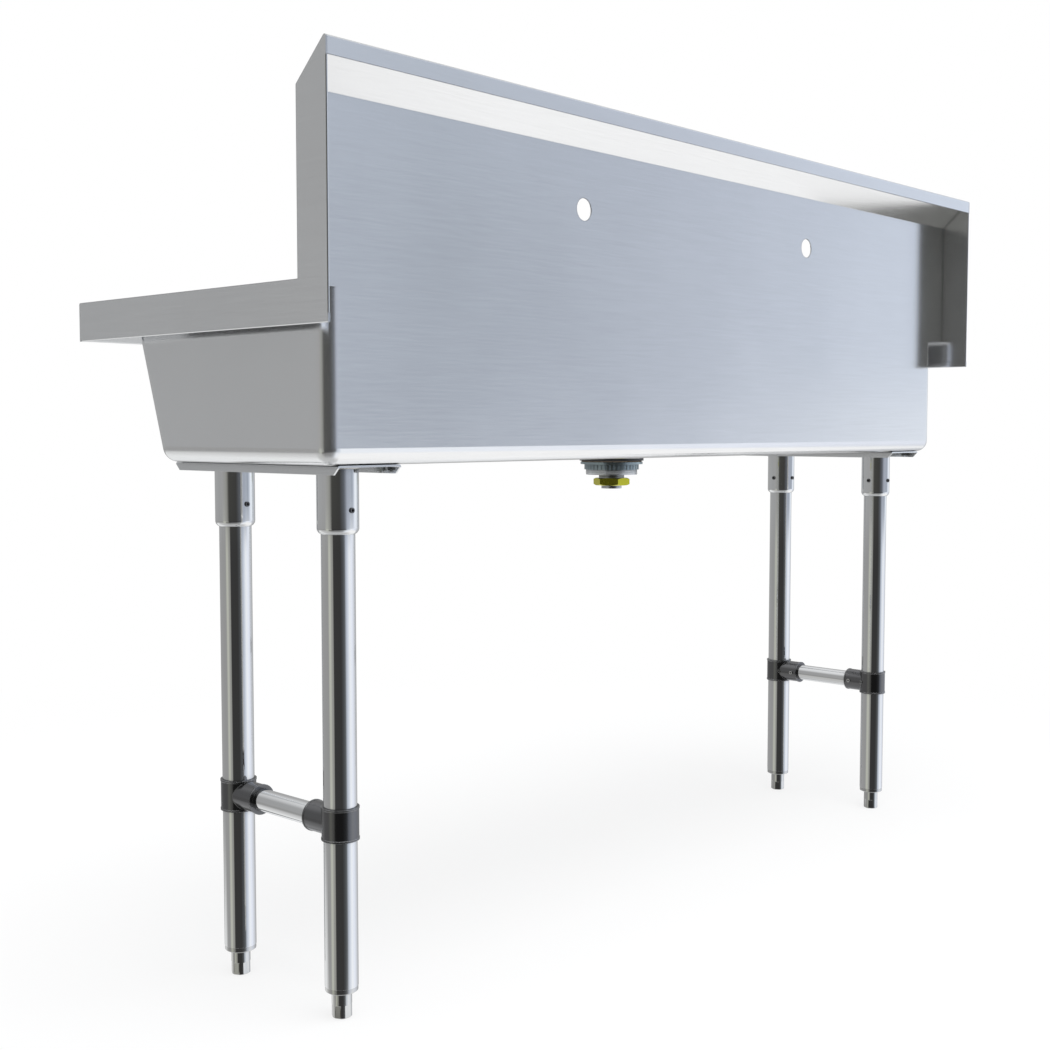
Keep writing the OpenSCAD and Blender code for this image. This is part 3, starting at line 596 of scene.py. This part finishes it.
def make_piece(name, shape, material, body, sharp=SHARP):
    points, faces = shape
    mesh = bpy.data.meshes.new(name)
    mesh.from_pydata(points, [], faces)
    bm = bmesh.new()
    bm.from_mesh(mesh)
    bmesh.ops.recalc_face_normals(bm, faces=bm.faces)
    bm.to_mesh(mesh)
    bm.free()
    for face in mesh.polygons:
        face.use_smooth = True
    mesh.set_sharp_from_angle(angle=math.radians(sharp))
    mesh.materials.append(material)
    piece = bpy.data.objects.new(name, mesh)
    bpy.context.collection.objects.link(piece)
    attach(piece, body)
    return piece


def middle(node):
    """X and Y of a node's axis."""
    low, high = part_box(node)
    return (low.x + high.x) / 2, (low.y + high.y) / 2


def many(shapes):
    """Joins several lists of points and faces into one."""
    points, faces = [], []
    for some, links in shapes:
        start = len(points)
        points.extend(some)
        faces.extend(tuple(start + i for i in face) for face in links)
    return points, faces


# A ridge of a thread: corners of its section, half widths at its foot and top as shares of the pitch, and
# how far its foot is sunk as a share of its height. At each end it rises over a third of a turn.
RIDGE_CORNERS = 4
RIDGE_FOOT_SHARE = 0.42
RIDGE_TOP_SHARE = 0.05
RIDGE_SUNK_SHARE = 0.3
RISE_IN_A_TURN = 3.0


def helix(centre, low, high, radius, pitch, crest, around):
    """A thread's ridge that winds up a round bar, with both ends run out."""
    x, y = centre
    points, faces = [], []
    count = int((high - low) / pitch * around)
    for i in range(count + 1):
        turn = 2 * math.pi * i / around
        z = low + (high - low) * i / count
        inner = radius - RIDGE_SUNK_SHARE * crest
        rise = RISE_IN_A_TURN * min(i, count - i) / around
        outer = radius + crest * min(1.0, rise)
        section = (
            (inner, -RIDGE_FOOT_SHARE),
            (outer, -RIDGE_TOP_SHARE),
            (outer, RIDGE_TOP_SHARE),
            (inner, RIDGE_FOOT_SHARE),
        )
        for r, up in section:
            points.append((x + r * math.cos(turn), y + r * math.sin(turn), z + up * pitch))
    for i in range(count):
        for k in range(RIDGE_CORNERS):
            a = RIDGE_CORNERS * i + k
            b = RIDGE_CORNERS * i + (k + 1) % RIDGE_CORNERS
            faces.append((a, b, b + RIDGE_CORNERS, a + RIDGE_CORNERS))
    faces.append(tuple(range(RIDGE_CORNERS)))
    faces.append(tuple(RIDGE_CORNERS * count + k for k in reversed(range(RIDGE_CORNERS))))
    return points, faces


def lathe(centre, rings, around):
    """A closed skin through rings, each one (height, radius at each angle)."""
    x, y = centre
    points, faces = [], []
    for z, radii in rings:
        for i in range(around):
            a = 2 * math.pi * i / around
            points.append((x + radii(a) * math.cos(a), y + radii(a) * math.sin(a), z))
    for k in range(len(rings) - 1):
        for i in range(around):
            j = (i + 1) % around
            faces.append((k * around + i, k * around + j, (k + 1) * around + j, (k + 1) * around + i))
    faces.append(tuple(reversed(range(around))))
    faces.append(tuple((len(rings) - 1) * around + i for i in range(around)))
    return points, faces


# Foot: a round shank with six milled flats at its lower end, and a threaded stud, M16 by 2. Radii and
# heights in metres, and the turn of the hexagon in degrees.
FOOT_AROUND = 120
SHANK_R = 0.0125
FLAT_R = 0.0119
STUD_R = 0.008
FLATS = 6
HEX_TURN = 87
THREAD_PITCH = 0.002
THREAD_DEPTH = 0.0009
THREAD_FROM = 0.0325
THREAD_TO = 0.0745
THREAD_FADE = 0.001
THREAD_FADE_FROM = 0.0328
THREAD_FADE_TO = 0.0744
THREAD_STEPS = 8
THREAD_SLOPE = 2.4
STUD_TOP = 0.075
STUD_TOP_CUT = 0.0016
# Height of a ring, and how far it is cut back from the milled flats: the chamfer and the flats to their end
FLAT_RINGS = ((0.0, 0.0008), (0.0004, 0.0003), (0.0009, 0.0), (0.0157, 0.0))
FLAT_RUN_OUT = (0.016, 0.0001)
SHANK_FROM = 0.0162
SHANK_EDGE_FROM = 0.0316
SHANK_TO = 0.0321
SHANK_EDGE = 0.0005
# Angle in degrees from which an edge of the foot is sharp
FOOT_SHARP = 11


def milled(a):
    """Radius of the shank with its six flats, at angle a."""
    half = math.pi / FLATS
    off = (a - math.radians(HEX_TURN) + half) % (2 * half) - half
    return min(SHANK_R, FLAT_R / math.cos(off))


def milled_ring(cut):
    return lambda a: milled(a) - cut


def round_ring(radius):
    return lambda a: radius


def thread_ring(z):
    """Radius of the stud at height z, with the groove of its thread, which fades out at both ends."""

    def radius(a):
        place = (z / THREAD_PITCH - a / (2 * math.pi)) % 1.0
        fade = min(1.0, (THREAD_FADE_TO - z) / THREAD_FADE, (z - THREAD_FADE_FROM) / THREAD_FADE)
        crest = max(0.0, fade) * min(1.0, THREAD_SLOPE * abs(2 * place - 1))
        return STUD_R - THREAD_DEPTH * (1.0 - crest)

    return radius


def foot_shape(centre):
    rings = [(z, milled_ring(cut)) for z, cut in FLAT_RINGS]
    run_out_z, run_out = FLAT_RUN_OUT
    rings.append((run_out_z, lambda a: min(SHANK_R, milled(a) + run_out)))
    rings.append((SHANK_FROM, round_ring(SHANK_R)))
    rings.append((SHANK_EDGE_FROM, round_ring(SHANK_R)))
    rings.append((SHANK_TO, round_ring(SHANK_R - SHANK_EDGE)))
    rings.append((SHANK_TO, round_ring(STUD_R - THREAD_DEPTH)))
    z = THREAD_FROM
    while z < THREAD_TO:
        rings.append((z, thread_ring(z)))
        z += THREAD_PITCH / THREAD_STEPS
    rings.append((STUD_TOP, round_ring(STUD_R - STUD_TOP_CUT)))
    return lathe(centre, rings, FOOT_AROUND)


def make_foot(leg, steel):
    shape = foot_shape(middle("leg_socket" + leg))
    foot = make_piece("foot_threaded" + leg, shape, steel, "foot" + leg, FOOT_SHARP)
    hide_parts("foot" + leg)


# Weld round the top of a socket: its size and its depth under the socket's top in metres, its points round
# the ring and across it, and its ripples and waves as (number round the ring, share of its size)
WELD_SIZE = 0.0017
WELD_DOWN = 0.0010
WELD_AROUND = 144
WELD_ACROSS = 10
WELD_RIPPLE = (36, 0.10)
WELD_WAVE = (7, 0.07)
# Where the ripples of a weld start, in radians, so that each one differs: by the side, and per metre of Y
WELD_START = 1.3
WELD_START_Y = 20


def bead(centre, z, radius, start):
    """A fillet weld round a tube: a ring with the ripples of its passes."""
    x, y = centre
    points, faces = [], []
    for i in range(WELD_AROUND):
        a = 2 * math.pi * i / WELD_AROUND
        ripple = WELD_RIPPLE[1] * math.sin(WELD_RIPPLE[0] * a + start)
        wave = WELD_WAVE[1] * math.sin(WELD_WAVE[0] * a + 2 * start)
        thick = WELD_SIZE * (1 + ripple + wave)
        for k in range(WELD_ACROSS):
            b = 2 * math.pi * k / WELD_ACROSS
            r = radius + thick * math.cos(b)
            points.append((x + r * math.cos(a), y + r * math.sin(a), z + thick * math.sin(b)))
    for i in range(WELD_AROUND):
        for k in range(WELD_ACROSS):
            j = (i + 1) % WELD_AROUND * WELD_ACROSS
            m = (k + 1) % WELD_ACROSS
            faces.append((i * WELD_ACROSS + k, j + k, j + m, i * WELD_ACROSS + m))
    return points, faces


def make_weld(leg, steel):
    low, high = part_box("leg_socket" + leg)
    x, y = middle("leg_socket" + leg)
    start = math.copysign(WELD_START, x) + WELD_START_Y * y
    shape = bead((x, y), high.z - WELD_DOWN, (high.x - low.x) / 2, start)
    make_piece("socket_weld" + leg, shape, steel, "sink")


def make_leg_pieces():
    """A threaded foot and the weld of the socket on each leg."""
    grey = (0.76, 0.76, 0.745)
    turned = metal("foot_turned", grey, rough=0.07, grain=ALONG_Z, relief=0.003, scale=500, gap=0.92)
    dull = (0.62, 0.61, 0.58)
    welded = metal("weld_bead", dull, rough=0.34, grain=EVEN, relief=0.03, scale=700)
    paint(turned, *on_legs("foot"))
    for leg in LEGS:
        make_foot(leg, turned)
        make_weld(leg, welded)


# Threads of the strainer's cup and outlet, and of the studs, in metres, with the number of points in a turn
CUP_THREAD = dict(radius=0.0403, pitch=0.0018, crest=0.0004, around=96)
OUTLET_THREAD = dict(radius=0.0198, pitch=0.0014, crest=0.0004, around=60)
STUD_THREAD = dict(radius=0.003, pitch=0.001, crest=0.00018, around=24)
# Length of thread that shows under the locknut and over the coupling nut, and its gap to the nut
CUP_THREAD_LENGTH = 0.0068
CUP_NUT_GAP = 0.0005
OUTLET_THREAD_LENGTH = 0.0044
OUTLET_NUT_GAP = 0.0006
# Free length at the lower end of a stud, and under its nut
STUD_END = 0.0005
STUD_NUT_GAP = 0.0003
# Half the spacing of a channel's studs
STUD_SPREAD_X = 0.038
STUD_SPREAD_Y = 0.138


def make_strainer_threads(satin):
    centre = middle("strainer_body")
    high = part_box("locknut")[0].z - CUP_NUT_GAP
    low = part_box("coupling_nut")[1].z + OUTLET_NUT_GAP
    cup = helix(centre, high - CUP_THREAD_LENGTH, high, **CUP_THREAD)
    outlet = helix(centre, low, low + OUTLET_THREAD_LENGTH, **OUTLET_THREAD)
    make_piece("strainer_threads", many([cup, outlet]), satin, "sink")


def make_stud_threads(bright):
    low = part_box("channel_studs")[0].z + STUD_END
    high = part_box("channel_nuts")[0].z - STUD_NUT_GAP
    y = middle("channel_studs")[1]
    threads = []
    for socket in on_sides("leg_socket_front"):
        x = middle(socket)[0]
        for dx in (-STUD_SPREAD_X, STUD_SPREAD_X):
            for dy in (-STUD_SPREAD_Y, STUD_SPREAD_Y):
                threads.append(helix((x + dx, y + dy), low, high, **STUD_THREAD))
    make_piece("stud_threads", many(threads), bright, "sink")


bpy.context.scene.view_settings.view_transform = "Standard"
make_camera()
make_world()
make_floor()
make_lamp()
SCREW = metal("screw_bright", (0.78, 0.78, 0.77), rough=0.20, grain=EVEN, relief=0.006, scale=900)
SATIN = metal("strainer_satin", (0.74, 0.75, 0.76), rough=0.24, grain=ALONG_Z, relief=0.008, scale=600)
make_sheets()
make_legs()
make_fasteners(SCREW)
make_strainer(SATIN)
make_leg_pieces()
make_strainer_threads(SATIN)
make_stud_threads(SCREW)
